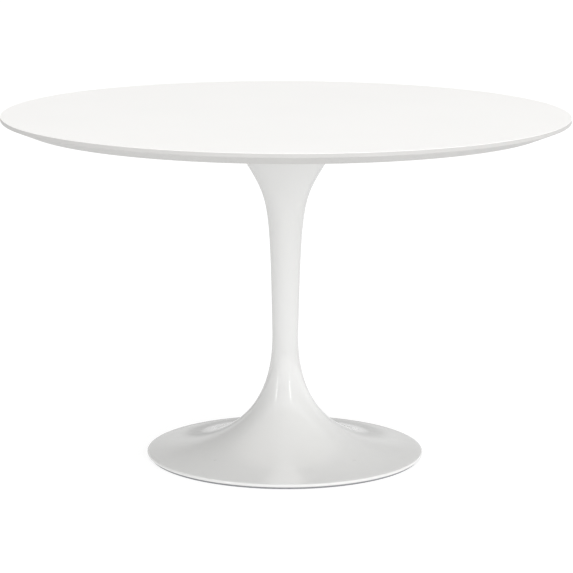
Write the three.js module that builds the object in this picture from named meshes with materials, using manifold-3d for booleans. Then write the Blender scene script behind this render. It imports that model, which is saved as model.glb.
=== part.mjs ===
// Round pedestal table: a bevelled disc top on one trumpet-shaped hollow casting.
// Millimetres, +Z up. The origin is the centre of the footprint, on the floor.
// How it goes together: six screws hold the top to a cast spider, the spider sits on a ledge in the iron
// casting's mouth, and one long rod pulls the spider down against a web in the foot. A plastic ring under
// the rim stands on the floor, and four hidden screw feet level the table where the floor is uneven.
import * as THREE from 'three';
import { mergeVertices } from 'three/addons/utils/BufferGeometryUtils.js';
import Module from 'manifold-3d';

const wasm = await Module();
wasm.setup();

// ---------------------------------------------------------------- driving dimensions
const TABLE_HEIGHT = 740;
const TOP_DIAMETER = 1200;

const TOP = {
  laminate: 1.2,        // hard sheet on the face
  core: 25,             // board
  backer: 0.8,          // balancing sheet underneath
  bond: 0.1,            // glue line
  edge: 9,              // upright band at the rim
  bevel: 46,            // how far the underside tapers in
  arris: 0.5,           // softened upper corner
};

const PEDESTAL = {
  rimRadius: 297,
  rimTop: 11,           // height where the foot's skin leaves the rounded rim
  rimNose: 3.5,         // radius of that rounding
  rimFlat: 15,          // width of the flat under the rim
  footSlope: 3.35,      // degrees, at the rim
  waistRadius: 27.75,
  waistHeight: 270,
  waistFlare: 0.022,    // how fast the radius grows at the waist, upwards
  lipRadius: 128,
  lipSlope: 62.2,       // degrees from level, at the lip
  wall: 6,
  lipGap: 1.3,          // shadow line between the lip and the top
  // how far each end of the two curves pulls towards the other end, as a part of the span between them
  rimPull: 0.76,
  waistPullDown: 0.58,
  waistPullUp: 0.80,
  lipPull: 0.444,
};

const LEDGE = { inner: 100, thickness: 10, lipWall: 11 };
const WEB = { height: 110, thickness: 12, holePlay: 1.3 };

const SPIDER = {
  flange: 8, ribs: 6, ribWidth: 6, ribReach: 98,
  ribTip: 2,            // depth of a rib at its outer end
  ribRise: 6,           // how far above the hub's end a rib starts
  hubRadius: 26, hubDepth: 36.5, rimGap: 2,
};
const SPIDER_SCREW = {
  circle: 80, count: 6, radius: 3, clearance: 3.3, headRadius: 5.25, headHeight: 3.3,
  crown: 0.6,           // flat end of the head, as a part of its radius
  shoulder: 0.7,        // where the head reaches its full width, as a part of its height
  socket: 4, socketDepth: 2, washerRadius: 6.5, washer: 1.6, bite: 11.5,
};
const INSERT = { radius: 5.5, length: 13, sink: 0.2 };

const ROD = { radius: 8, chamfer: 1.5, tail: 6.7, topSink: 1.5 };
const NUT = { acrossFlats: 24, height: 13, thinHeight: 8.5 };
const CLAMP_WASHER = { radius: 25, thickness: 6 };
const SPRING_WASHER = { radius: 13.6, thickness: 3.4, split: 3 };

const GLIDE = { inset: 5.5, width: 11.5, tongueWidth: 2, tongueDepth: 2 };
const SEAL = { inset: 2, overhang: 1, squeeze: 0.1 };
const LEVELLER = {
  count: 4, inset: 97, floorGap: 0.5,
  padRadius: 16, padHeight: 5, padChamfer: 1, padFloor: 1.3,
  padShoulder: 0.55,    // radius of the pad's top, as a part of its foot
  headRadius: 6, headHeight: 1.8, flats: 13, flangeHeight: 3, screwRadius: 4,
  bossRadius: 10, bossGap: 0.5, skin: 3.5, tipGap: 1,
};

const FIT = 0.3;        // clearance between pieces that touch or pass through each other
const THROUGH = 1;      // how far a cutter or a joined piece runs past the face it crosses
const SIDES = { top: 80, pedestal: 40, ring: 24, rod: 16, small: 12 };
const STEPS = { foot: 11, bell: 10, nose: 4, footInside: 9, bellInside: 8 };

// ---------------------------------------------------------------- finishes
const FINISHES = {
  laminate: { color: 0xf7f6f3, roughness: 0.35, metalness: 0 },
  lacquer: { color: 0xf2f2f0, roughness: 0.35, metalness: 0 },
  backer: { color: 0xe6e5e1, roughness: 0.6, metalness: 0 },
  coating: { color: 0xf2f2f2, roughness: 0.15, metalness: 0 },
  castIron: { color: 0x3b3a39, roughness: 0.8, metalness: 0.6 },
  zinc: { color: 0xb9bcc0, roughness: 0.35, metalness: 1 },
  brass: { color: 0xb8924a, roughness: 0.35, metalness: 1 },
  foam: { color: 0xd9d9d7, roughness: 0.9, metalness: 0 },
  glide: { color: 0x77787a, roughness: 0.6, metalness: 0 },
  nylon: { color: 0x1d1d1f, roughness: 0.5, metalness: 0 },
};

// ---------------------------------------------------------------- shapes
const table = new THREE.Group();

// Any closed geometry as a solid that can be joined and cut.
function solid(geometry) {
  geometry.deleteAttribute('normal');
  geometry.deleteAttribute('uv');
  const merged = mergeVertices(geometry, 1e-4);
  const corners = merged.index.array;
  const faces = [];
  for (let i = 0; i < corners.length; i += 3) {
    const [a, b, c] = corners.slice(i, i + 3);
    if (a !== b && b !== c && c !== a) faces.push(a, b, c);   // a lathe leaves empty faces on its axis
  }
  return new wasm.Manifold(new wasm.Mesh({
    numProp: 3,
    vertProperties: merged.attributes.position.array,
    triVerts: new Uint32Array(faces),
  }));
}

// A turned solid: the [radius, height] outline spun about the vertical line through x, y.
function turned(outline, sides, x = 0, y = 0) {
  const points = outline.map(([radius, height]) => new THREE.Vector2(radius, height));
  if (THREE.ShapeUtils.area(points) < 0) points.reverse();
  const closesOnAxis = points[0].x === 0 && points.at(-1).x === 0;
  if (!closesOnAxis) points.push(points[0].clone());
  return solid(new THREE.LatheGeometry(points, sides).rotateX(Math.PI / 2).translate(x, y, 0));
}

function cylinder(radius, bottom, top, sides, x = 0, y = 0) {
  return turned([[0, bottom], [radius, bottom], [radius, top], [0, top]], sides, x, y);
}

function ring(inner, outer, bottom, top, sides) {
  return turned([[inner, bottom], [outer, bottom], [outer, top], [inner, top]], sides);
}

function prism(shape, bottom, top, turn = 0) {
  const geometry = new THREE.ExtrudeGeometry(shape, { depth: top - bottom, bevelEnabled: false });
  return solid(geometry.translate(0, 0, bottom).rotateZ(turn));
}

function hexagon(acrossFlats) {
  const corner = acrossFlats / Math.sqrt(3);
  const points = Array.from({ length: 6 }, (_, i) => new THREE.Vector2(corner, 0).rotateAround(
    new THREE.Vector2(), i * Math.PI / 3));
  return new THREE.Shape(points);
}

function rectangle(x0, x1, y0, y1) {
  return new THREE.Shape([[x0, y0], [x1, y0], [x1, y1], [x0, y1]].map(([x, y]) => new THREE.Vector2(x, y)));
}

// Places spread evenly round a circle, starting at an angle in radians.
function around(count, radius, start = 0) {
  return Array.from({ length: count }, (_, i) => {
    const angle = start + 2 * Math.PI * i / count;
    return { x: radius * Math.cos(angle), y: radius * Math.sin(angle), angle, number: i + 1 };
  });
}

function cutAll(body, cutters) {
  return cutters.reduce((rest, cutter) => rest.subtract(cutter), body);
}

function joinAll(body, additions) {
  return additions.reduce((whole, addition) => whole.add(addition), body);
}

// One named piece of the table.
function add(name, body, finish, place = { x: 0, y: 0, angle: 0 }) {
  const mesh = body.getMesh();
  const geometry = new THREE.BufferGeometry();
  geometry.setAttribute('position', new THREE.BufferAttribute(new Float32Array(mesh.vertProperties), 3));
  geometry.setIndex(new THREE.BufferAttribute(new Uint32Array(mesh.triVerts), 1));
  geometry.computeVertexNormals();
  const piece = new THREE.Mesh(geometry, new THREE.MeshStandardMaterial(FINISHES[finish]));
  piece.name = name;
  piece.position.set(place.x, place.y, 0);
  piece.rotation.z = place.angle;
  table.add(piece);
}

// ---------------------------------------------------------------- heights, from the floor up
const topRadius = TOP_DIAMETER / 2;
const laminateBottom = TABLE_HEIGHT - TOP.laminate;
const coreTop = laminateBottom - TOP.bond;
const coreBottom = coreTop - TOP.core;
const backerTop = coreBottom - TOP.bond;
const underside = backerTop - TOP.backer;
const bevelTop = TABLE_HEIGHT - TOP.edge;
const lipHeight = underside - PEDESTAL.lipGap;
const spiderTop = underside - FIT;
const flangeBottom = spiderTop - SPIDER.flange;
const ledgeTop = flangeBottom - FIT;
const hubBottom = spiderTop - SPIDER.flange - SPIDER.hubDepth;
const rimBottom = PEDESTAL.rimTop - 2 * PEDESTAL.rimNose;

const bevelRadiusAt = height => topRadius - TOP.bevel * (bevelTop - height) / (bevelTop - underside);

const screwPlaces = around(SPIDER_SCREW.count, SPIDER_SCREW.circle, Math.PI / SPIDER_SCREW.count);
const levellerCircle = PEDESTAL.rimRadius - LEVELLER.inset;
const levellerPlaces = around(LEVELLER.count, levellerCircle, Math.PI / LEVELLER.count);

// ---------------------------------------------------------------- the pedestal's skin
const footAngle = THREE.MathUtils.degToRad(PEDESTAL.footSlope);
const lipAngle = THREE.MathUtils.degToRad(PEDESTAL.lipSlope);
const noseCentre = new THREE.Vector2(
  PEDESTAL.rimRadius - PEDESTAL.rimNose, PEDESTAL.rimTop - PEDESTAL.rimNose);
const rimEnd = new THREE.Vector2(Math.sin(footAngle), Math.cos(footAngle))
  .multiplyScalar(PEDESTAL.rimNose).add(noseCentre);
const waist = new THREE.Vector2(PEDESTAL.waistRadius, PEDESTAL.waistHeight);
const lip = new THREE.Vector2(PEDESTAL.lipRadius, lipHeight);

const rimPull = PEDESTAL.rimPull * (rimEnd.x - waist.x);
const waistPullDown = PEDESTAL.waistPullDown * (waist.y - rimEnd.y);
const waistPullUp = PEDESTAL.waistPullUp * (lip.y - waist.y);
const lipPull = PEDESTAL.lipPull * (lip.y - waist.y);

const footCurve = new THREE.CubicBezierCurve(
  rimEnd,
  new THREE.Vector2(rimEnd.x - rimPull * Math.cos(footAngle), rimEnd.y + rimPull * Math.sin(footAngle)),
  new THREE.Vector2(waist.x - waistPullDown * PEDESTAL.waistFlare, waist.y - waistPullDown),
  waist,
);
const bellCurve = new THREE.CubicBezierCurve(
  waist,
  new THREE.Vector2(waist.x + waistPullUp * PEDESTAL.waistFlare, waist.y + waistPullUp),
  new THREE.Vector2(lip.x - lipPull * Math.cos(lipAngle), lip.y - lipPull * Math.sin(lipAngle)),
  lip,
);

// Points of a curve, moved square to it by a distance towards the hollow side.
function inset(curve, steps, distance) {
  return Array.from({ length: steps + 1 }, (_, i) => {
    const point = curve.getPoint(i / steps);
    const along = curve.getTangent(i / steps);
    return [point.x - along.y * distance, point.y + along.x * distance];
  });
}

// Height of the foot's skin, or of a surface inside it, at a radius.
function footHeightAt(radius, depth) {
  const line = inset(footCurve, 200, depth);
  return line.find(([r]) => r <= radius)[1];
}

// ---------------------------------------------------------------- top
add('top_laminate', turned([
  [0, laminateBottom],
  [topRadius, laminateBottom],
  [topRadius, TABLE_HEIGHT - TOP.arris],
  [topRadius - TOP.arris, TABLE_HEIGHT],
  [0, TABLE_HEIGHT],
], SIDES.top), 'laminate');

const insertBottom = coreBottom + INSERT.sink;
const insertTop = insertBottom + INSERT.length;
const core = turned([
  [0, coreBottom],
  [bevelRadiusAt(coreBottom), coreBottom],
  [topRadius, bevelTop],
  [topRadius, coreTop],
  [0, coreTop],
], SIDES.top);
const insertHoles = screwPlaces.map(({ x, y }) => cylinder(
  INSERT.radius + FIT, coreBottom - THROUGH, insertTop + FIT, SIDES.small, x, y));
add('top_core', cutAll(core, insertHoles), 'lacquer');

const backer = turned([
  [0, underside],
  [bevelRadiusAt(underside), underside],
  [bevelRadiusAt(backerTop), backerTop],
  [0, backerTop],
], SIDES.top);
const backerHoles = screwPlaces.map(({ x, y }) => cylinder(
  INSERT.radius + 2 * FIT, underside - THROUGH, backerTop + THROUGH, SIDES.small, x, y));
add('backer_laminate', cutAll(backer, backerHoles), 'backer');

const insert = ring(SPIDER_SCREW.clearance, INSERT.radius, insertBottom, insertTop, SIDES.small);
for (const place of screwPlaces) add(`threaded_insert_${place.number}`, insert, 'brass', place);

// ---------------------------------------------------------------- spider that carries the top
const mouthRadius = PEDESTAL.lipRadius - LEDGE.lipWall;
const rodHole = ROD.radius + FIT;
const flange = cylinder(mouthRadius - SPIDER.rimGap, flangeBottom, spiderTop, SIDES.pedestal);
const hub = cylinder(SPIDER.hubRadius, hubBottom, flangeBottom + THROUGH, SIDES.ring);
const ribStart = hubBottom + SPIDER.ribRise;
const ribs = around(SPIDER.ribs, 0).map(({ angle }) => {
  // a tapering fin, drawn in the upright plane, then stood up and turned to its place
  const side = new THREE.Shape([
    [0, flangeBottom + THROUGH], [SPIDER.ribReach, flangeBottom + THROUGH],
    [SPIDER.ribReach, flangeBottom - SPIDER.ribTip], [SPIDER.hubRadius, ribStart], [0, ribStart],
  ].map(([x, y]) => new THREE.Vector2(x, y)));
  const fin = new THREE.ExtrudeGeometry(side, { depth: SPIDER.ribWidth, bevelEnabled: false });
  return solid(fin.translate(0, 0, -SPIDER.ribWidth / 2).rotateX(Math.PI / 2).rotateZ(angle));
});
const spiderHoles = screwPlaces.map(({ x, y }) => cylinder(
  SPIDER_SCREW.clearance, flangeBottom - THROUGH, spiderTop + THROUGH, SIDES.small, x, y));
const rodBore = cylinder(rodHole, hubBottom - THROUGH, spiderTop + THROUGH, SIDES.rod);
add('mounting_spider', cutAll(joinAll(flange, [hub, ...ribs]), [rodBore, ...spiderHoles]), 'castIron');

// ---------------------------------------------------------------- screws that hold the top to the spider
const washerTop = flangeBottom - FIT;
const washerBottom = washerTop - SPIDER_SCREW.washer;
const headTop = washerBottom - FIT;
const headBottom = headTop - SPIDER_SCREW.headHeight;
const washer = ring(SPIDER_SCREW.clearance, SPIDER_SCREW.washerRadius, washerBottom, washerTop, SIDES.small);
const spiderScrew = turned([
  [0, headBottom],
  [SPIDER_SCREW.headRadius * SPIDER_SCREW.crown, headBottom],
  [SPIDER_SCREW.headRadius, headBottom + SPIDER_SCREW.headHeight * SPIDER_SCREW.shoulder],
  [SPIDER_SCREW.headRadius, headTop],
  [SPIDER_SCREW.radius, headTop],
  [SPIDER_SCREW.radius, insertBottom + SPIDER_SCREW.bite],
  [0, insertBottom + SPIDER_SCREW.bite],
], SIDES.small).subtract(prism(
  hexagon(SPIDER_SCREW.socket), headBottom - THROUGH, headBottom + SPIDER_SCREW.socketDepth));
for (const place of screwPlaces) {
  add(`spider_washer_${place.number}`, washer, 'zinc', place);
  add(`spider_screw_${place.number}`, spiderScrew, 'zinc', place);
}

// ---------------------------------------------------------------- pedestal casting
const footSkin = footCurve.getPoints(STEPS.foot).map(p => [p.x, p.y]);
const bellSkin = bellCurve.getPoints(STEPS.bell).map(p => [p.x, p.y]);
const noseArc = new THREE.Path().absarc(noseCentre.x, noseCentre.y, PEDESTAL.rimNose,
  -Math.PI / 2, Math.PI / 2 - footAngle).getPoints(STEPS.nose).map(p => [p.x, p.y]);

const webTop = WEB.height + WEB.thickness;
const ledgeBottom = ledgeTop - LEDGE.thickness;
const rimInner = noseCentre.x - PEDESTAL.rimFlat;
const footInside = inset(footCurve, STEPS.footInside, PEDESTAL.wall);
const bellInside = inset(bellCurve, STEPS.bellInside, PEDESTAL.wall);
const chamferStart = ledgeBottom - (mouthRadius - LEDGE.inner);
const insideAt = (line, height) => {
  const above = line.findIndex(([, z]) => z >= height);
  const [[r0, z0], [r1, z1]] = [line[above - 1], line[above]];
  return r0 + (r1 - r0) * (height - z0) / (z1 - z0);
};
const grooveInner = rimInner + (PEDESTAL.rimFlat - GLIDE.tongueWidth) / 2 - FIT;
const grooveOuter = grooveInner + GLIDE.tongueWidth + 2 * FIT;
const grooveTop = rimBottom + GLIDE.tongueDepth;

const shell = turned([
  ...noseArc.slice(0, -1),
  ...footSkin,
  ...bellSkin.slice(1),
  [mouthRadius, lipHeight],
  [mouthRadius, ledgeTop],
  [LEDGE.inner, ledgeTop],
  [LEDGE.inner, ledgeBottom],
  [insideAt(bellInside, chamferStart), chamferStart],
  ...bellInside.filter(([, z]) => z < chamferStart - 1).reverse(),
  ...footInside.filter(([, z]) => z > webTop + 1).reverse().slice(1),
  [insideAt(footInside, webTop), webTop],
  [ROD.radius + WEB.holePlay, webTop],
  [ROD.radius + WEB.holePlay, WEB.height],
  [insideAt(footInside, WEB.height), WEB.height],
  ...footInside.filter(([r, z]) => z < WEB.height - 1 && r < rimInner - 1).reverse(),
  [rimInner, footHeightAt(rimInner, PEDESTAL.wall)],
  [rimInner, rimBottom],
  [grooveInner, rimBottom],
  [grooveInner, grooveTop],
  [grooveOuter, grooveTop],
  [grooveOuter, rimBottom],
], SIDES.pedestal);

// everything below the middle of the casting's wall, so that a boss ends inside the wall
const underWall = turned([
  [0, 0],
  [rimEnd.x, 0],
  ...inset(footCurve, STEPS.foot * 2, PEDESTAL.wall / 2),
  [0, waist.y],
], SIDES.pedestal);

const padBottom = LEVELLER.floorGap;
const padTop = padBottom + LEVELLER.padHeight;
const flangeLow = padTop + FIT;
const flangeHigh = flangeLow + LEVELLER.flangeHeight;
const levellerBossEnd = flangeHigh + LEVELLER.bossGap;
const threadTop = footHeightAt(levellerCircle + LEVELLER.screwRadius, 0) - LEVELLER.skin;
const levellerTip = threadTop - LEVELLER.tipGap;
const levellerBosses = levellerPlaces.map(({ x, y }) => cylinder(
  LEVELLER.bossRadius, levellerBossEnd, waist.y, SIDES.small, x, y).intersect(underWall));
const levellerThreads = levellerPlaces.map(({ x, y }) => cylinder(
  LEVELLER.screwRadius + FIT, levellerBossEnd - THROUGH, threadTop, SIDES.small, x, y));

add('pedestal_casting', cutAll(joinAll(shell, levellerBosses), levellerThreads), 'coating');

add('lip_seal', ring(mouthRadius + SEAL.inset, PEDESTAL.lipRadius - SEAL.overhang, lipHeight + SEAL.squeeze,
  underside - SEAL.squeeze, SIDES.pedestal), 'foam');

// ---------------------------------------------------------------- rod that ties the spider to the foot
const clampTop = WEB.height - FIT;
const clampBottom = clampTop - CLAMP_WASHER.thickness;
const springTop = clampBottom - FIT;
const springBottom = springTop - SPRING_WASHER.thickness;
const tieNutTop = springBottom - FIT;
const tieNutBottom = tieNutTop - NUT.height;
const rodBottom = tieNutBottom - ROD.tail;

add('tie_rod', turned([
  [0, rodBottom],
  [ROD.radius - ROD.chamfer, rodBottom],
  [ROD.radius, rodBottom + ROD.chamfer],
  [ROD.radius, spiderTop - ROD.topSink - ROD.chamfer],
  [ROD.radius - ROD.chamfer, spiderTop - ROD.topSink],
  [0, spiderTop - ROD.topSink],
], SIDES.rod), 'zinc');

function nut(bottom, top) {
  return prism(hexagon(NUT.acrossFlats), bottom, top).subtract(
    cylinder(rodHole, bottom - THROUGH, top + THROUGH, SIDES.rod));
}
add('rod_jam_nut', nut(hubBottom - FIT - NUT.thinHeight, hubBottom - FIT), 'zinc');
add('tie_nut', nut(tieNutBottom, tieNutTop), 'zinc');
add('clamp_washer', ring(rodHole, CLAMP_WASHER.radius, clampBottom, clampTop, SIDES.ring), 'zinc');
add('spring_washer', ring(rodHole, SPRING_WASHER.radius, springBottom, springTop, SIDES.rod).subtract(
  prism(rectangle(0, 2 * SPRING_WASHER.radius, -SPRING_WASHER.split / 2, SPRING_WASHER.split / 2),
    springBottom - THROUGH, springTop + THROUGH)), 'zinc');

// ---------------------------------------------------------------- ring that stands on the floor
const glideOuter = PEDESTAL.rimRadius - GLIDE.inset;
const glideInner = glideOuter - GLIDE.width;
const glideTop = rimBottom - FIT;
add('glide_ring', turned([
  [glideInner, 0],
  [glideOuter, 0],
  [glideOuter, glideTop],
  [grooveOuter - FIT, glideTop],
  [grooveOuter - FIT, grooveTop - FIT],
  [grooveInner + FIT, grooveTop - FIT],
  [grooveInner + FIT, glideTop],
  [glideInner, glideTop],
], SIDES.pedestal), 'glide');

// ---------------------------------------------------------------- four levelling feet
const cupBottom = padBottom + LEVELLER.padFloor;
const studHeadBottom = cupBottom + FIT;
const studHeadTop = studHeadBottom + LEVELLER.headHeight;
const cupTop = studHeadTop + FIT;
const pad = turned([
  [0, padBottom],
  [LEVELLER.padRadius - LEVELLER.padChamfer, padBottom],
  [LEVELLER.padRadius, padBottom + LEVELLER.padChamfer],
  [LEVELLER.padRadius * LEVELLER.padShoulder, padTop],
  [LEVELLER.screwRadius + FIT, padTop],
  [LEVELLER.screwRadius + FIT, cupTop],
  [LEVELLER.headRadius + FIT, cupTop],
  [LEVELLER.headRadius + FIT, cupBottom],
  [0, cupBottom],
], SIDES.small);
const stud = turned([
  [0, studHeadBottom],
  [LEVELLER.headRadius, studHeadBottom],
  [LEVELLER.headRadius, studHeadTop],
  [LEVELLER.screwRadius, studHeadTop],
  [LEVELLER.screwRadius, levellerTip],
  [0, levellerTip],
], SIDES.small).add(prism(hexagon(LEVELLER.flats), flangeLow, flangeHigh));
for (const place of levellerPlaces) {
  add(`leveller_pad_${place.number}`, pad, 'nylon', place);
  add(`leveller_stud_${place.number}`, stud, 'zinc', place);
}

export default table;
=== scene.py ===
# %% [markdown]
# # A round pedestal table, from frame to finished pieces
# The table is a flat disc on one trumpet-shaped casting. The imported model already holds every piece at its
# real place and size, so this script only makes the surfaces finer and gives each one its real finish.
# Nearly every piece here is a turned or a moulded round part. The lesson is built on that: half a section is
# drawn as a line of points, a Geometry Nodes tree spins it, and further trees cut hexagons and threads into
# the result, as a lathe, a mill and a die would.

import math

import bpy
import numpy as np
from mathutils import Matrix, Vector


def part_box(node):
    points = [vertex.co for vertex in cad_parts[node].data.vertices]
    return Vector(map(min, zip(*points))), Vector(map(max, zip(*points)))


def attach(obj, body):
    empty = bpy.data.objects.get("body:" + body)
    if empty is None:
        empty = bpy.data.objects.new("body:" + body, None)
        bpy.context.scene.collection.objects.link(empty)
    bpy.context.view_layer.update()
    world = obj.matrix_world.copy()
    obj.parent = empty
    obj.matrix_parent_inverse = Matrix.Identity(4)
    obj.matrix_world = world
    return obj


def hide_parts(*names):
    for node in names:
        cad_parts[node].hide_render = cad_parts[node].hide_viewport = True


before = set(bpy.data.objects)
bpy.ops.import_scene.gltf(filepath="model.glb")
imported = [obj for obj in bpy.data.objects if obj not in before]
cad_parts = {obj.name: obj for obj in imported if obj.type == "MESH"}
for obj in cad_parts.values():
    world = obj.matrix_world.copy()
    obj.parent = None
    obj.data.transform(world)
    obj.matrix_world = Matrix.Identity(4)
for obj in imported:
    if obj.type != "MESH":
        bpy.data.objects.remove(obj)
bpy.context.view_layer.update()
MM = 0.001

# %% [markdown]
# ## The camera
# The table is seen from a little above its top and from far away, through a long lens, as in a catalogue.
# A long lens keeps the top's ellipse flat and the foot nearly as wide as it really is. The camera could track
# the table with a constraint, but three plain angles say more clearly where it looks, so they are used here.

# %% Set up the camera
SENSOR = 36.0
LENS = 162.76
CAMERA_PLACE = Vector((0.0, -5.4356, 1.4308))
LOOK_DOWN = 0.1932
LOOK_RIGHT = 0.000425
CAMERA_TILT = 0.0036
FURTHEST_SEEN = 100.0

lens = bpy.data.cameras.new("camera")
lens.sensor_width = SENSOR
lens.lens = LENS
lens.clip_end = FURTHEST_SEEN
camera = bpy.data.objects.new("camera", lens)
camera.matrix_world = (
    Matrix.Translation(CAMERA_PLACE)
    @ Matrix.Rotation(-LOOK_RIGHT, 4, "Z")
    @ Matrix.Rotation(math.pi / 2 - LOOK_DOWN, 4, "X")
    @ Matrix.Rotation(CAMERA_TILT, 4, "Z")
)
bpy.context.collection.objects.link(camera)
bpy.context.scene.camera = camera
print("camera stands", round(CAMERA_PLACE.length, 2), "m from the middle of the foot")

# %% [markdown]
# ## One helper for every node
# Shader trees and geometry trees are both nodes with settings and inputs. One function adds a node, sets its
# own properties, and fills each input with a value or with a link from another node's output.

# %% A function that adds a node
def node(tree, kind, inputs=None, **settings):
    made = tree.nodes.new(kind)
    for name, value in settings.items():
        setattr(made, name, value)
    for key, value in (inputs or {}).items():
        if isinstance(value, bpy.types.NodeSocket):
            tree.links.new(value, made.inputs[key])
        else:
            made.inputs[key].default_value = value
    return made


def linear(hex_colour):
    """An sRGB hex colour as the linear red, green, blue and alpha that a shader works in."""
    parts = [int(hex_colour[i:i + 2], 16) / 255 for i in (0, 2, 4)]
    return [p / 12.92 if p <= 0.04045 else ((p + 0.055) / 1.055) ** 2.4 for p in parts] + [1.0]


print("mid grey 808080 is", round(linear("808080")[0], 3), "in linear light")

# %% [markdown]
# ## Half sections
# A lathe part is known by half of its section: points of radius and height. Real edges are never knife-sharp,
# so each corner has a third number, the radius that rounds it. A rounded corner also gets one extra point on
# each side, close to it. It keeps the face next to it flat in the light when the mesh is shaded smooth.

# %% Draw a half section with rounded corners
ARC_STEPS = 4


def section(corners):
    """Points in mm of an outline whose corners are (radius, height, rounding)."""
    points = []
    for i, (radius, height, rounding) in enumerate(corners):
        here = Vector((radius, height))
        if rounding == 0:
            points.append(here)
            continue
        before = Vector(corners[i - 1][:2]) - here
        after = Vector(corners[(i + 1) % len(corners)][:2]) - here
        half = before.angle(after) / 2
        reach = rounding / math.tan(half)
        centre = here + (before.normalized() + after.normalized()).normalized() * rounding / math.sin(half)
        spoke = here + before.normalized() * reach - centre
        turn = (here + after.normalized() * reach - centre).angle_signed(spoke)
        guard_before = min(rounding / 2, before.length / 3 - reach / 2)
        guard_after = min(rounding / 2, after.length / 3 - reach / 2)
        if guard_before > 0:
            points.append(here + before.normalized() * (reach + guard_before))
        for k in range(ARC_STEPS + 1):
            points.append(centre + Matrix.Rotation(turn * k / ARC_STEPS, 2) @ spoke)
        if guard_after > 0:
            points.append(here + after.normalized() * (reach + guard_after))
    return points


example = section([(0, 0, 0), (10, 0, 2), (10, 5, 2), (0, 5, 0)])
print("a disc with two rounded corners takes", len(example), "points")

# %% [markdown]
# ## The lathe
# A screw modifier could spin the outline, but a Geometry Nodes tree is clearer about what goes in: the tree
# sweeps the outline along a circle. The circle has a radius of one metre, so the outline is first moved one
# metre inwards, and turned over, because a swept outline hangs below its path. Points that land on the axis
# are merged there, and so are those along the seam.

# %% Build the lathe tree
MERGE_REACH = 0.01 * MM


def new_tree(name, sockets):
    """An empty geometry tree with the given inputs, after the geometry that every tree takes and gives."""
    tree = bpy.data.node_groups.new(name, "GeometryNodeTree")
    tree.interface.new_socket("Geometry", in_out="OUTPUT", socket_type="NodeSocketGeometry")
    tree.interface.new_socket("Geometry", in_out="INPUT", socket_type="NodeSocketGeometry")
    for label, kind, value in sockets:
        socket = tree.interface.new_socket(label, in_out="INPUT", socket_type=kind)
        if value is not None:
            socket.default_value = value
    return tree, tree.nodes.new("NodeGroupInput").outputs


def end_tree(tree, geometry, finish):
    """Every tree ends in plain geometry with its material."""
    real = node(tree, "GeometryNodeRealizeInstances", {"Geometry": geometry})
    dressed = node(tree, "GeometryNodeSetMaterial", {"Geometry": real.outputs[0], "Material": finish})
    node(tree, "NodeGroupOutput", {0: dressed.outputs[0]})


def lathe_tree():
    tree, given = new_tree("lathe", [
        ("Sides", "NodeSocketInt", 64),
        ("Finish", "NodeSocketMaterial", None),
    ])
    outline = node(tree, "GeometryNodeMeshToCurve", {0: given["Geometry"]})
    placed = node(tree, "GeometryNodeTransform", {
        "Geometry": outline.outputs[0],
        "Translation": (-1.0, 0.0, 0.0),
        "Rotation": (math.pi, 0.0, 0.0),
    })
    circle = node(tree, "GeometryNodeCurvePrimitiveCircle", {"Resolution": given["Sides"], "Radius": 1.0})
    upright = node(tree, "GeometryNodeSetCurveNormal", {"Curve": circle.outputs[0]}, mode="Z_UP")
    swept = node(tree, "GeometryNodeCurveToMesh", {0: upright.outputs[0], 1: placed.outputs[0]})
    merged = node(tree, "GeometryNodeMergeByDistance", {
        "Geometry": swept.outputs[0], "Distance": MERGE_REACH})
    outward = node(tree, "GeometryNodeFlipFaces", {"Mesh": merged.outputs[0]})
    smooth = node(tree, "GeometryNodeSetShadeSmooth", {"Geometry": outward.outputs[0]})
    end_tree(tree, smooth.outputs[0], given["Finish"])
    return tree


LATHE = lathe_tree()
print("the lathe tree has", len(LATHE.nodes), "nodes")

# %% [markdown]
# ## The mill
# A nut starts as a turned blank with bevelled ends, and six flats are milled into it. The flats cut the bevel
# in the curved arcs that every real nut shows. The tree does the same: a point that stands further out than
# the flat at its angle is drawn in to it.

# %% Build the hexagon tree
def radius_and_angle(tree):
    """The distance from the axis, and the angle round it, of every point."""
    place = node(tree, "GeometryNodeInputPosition")
    part = node(tree, "ShaderNodeSeparateXYZ", {0: place.outputs[0]})
    level = node(tree, "ShaderNodeCombineXYZ", {"X": part.outputs["X"], "Y": part.outputs["Y"]})
    radius = node(tree, "ShaderNodeVectorMath", {0: level.outputs[0]}, operation="LENGTH")
    angle = node(tree, "ShaderNodeMath", {0: part.outputs["Y"], 1: part.outputs["X"]}, operation="ARCTAN2")
    return part, radius.outputs["Value"], angle.outputs[0]


def between(tree, value, low, high):
    above = node(tree, "FunctionNodeCompare", {0: value, 1: low}, operation="GREATER_EQUAL")
    below = node(tree, "FunctionNodeCompare", {0: value, 1: high}, operation="LESS_EQUAL")
    return node(tree, "FunctionNodeBooleanMath", {0: above.outputs[0], 1: below.outputs[0]}).outputs[0]


def scaled_outwards(tree, geometry, chosen, part, factor):
    """Moves the chosen points straight in or out from the axis."""
    x = node(tree, "ShaderNodeMath", {0: part.outputs["X"], 1: factor}, operation="MULTIPLY")
    y = node(tree, "ShaderNodeMath", {0: part.outputs["Y"], 1: factor}, operation="MULTIPLY")
    place = node(tree, "ShaderNodeCombineXYZ", {"X": x.outputs[0], "Y": y.outputs[0], "Z": part.outputs["Z"]})
    moved = node(tree, "GeometryNodeSetPosition", {
        "Geometry": geometry, "Selection": chosen, "Position": place.outputs[0]})
    return moved.outputs[0]


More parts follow.
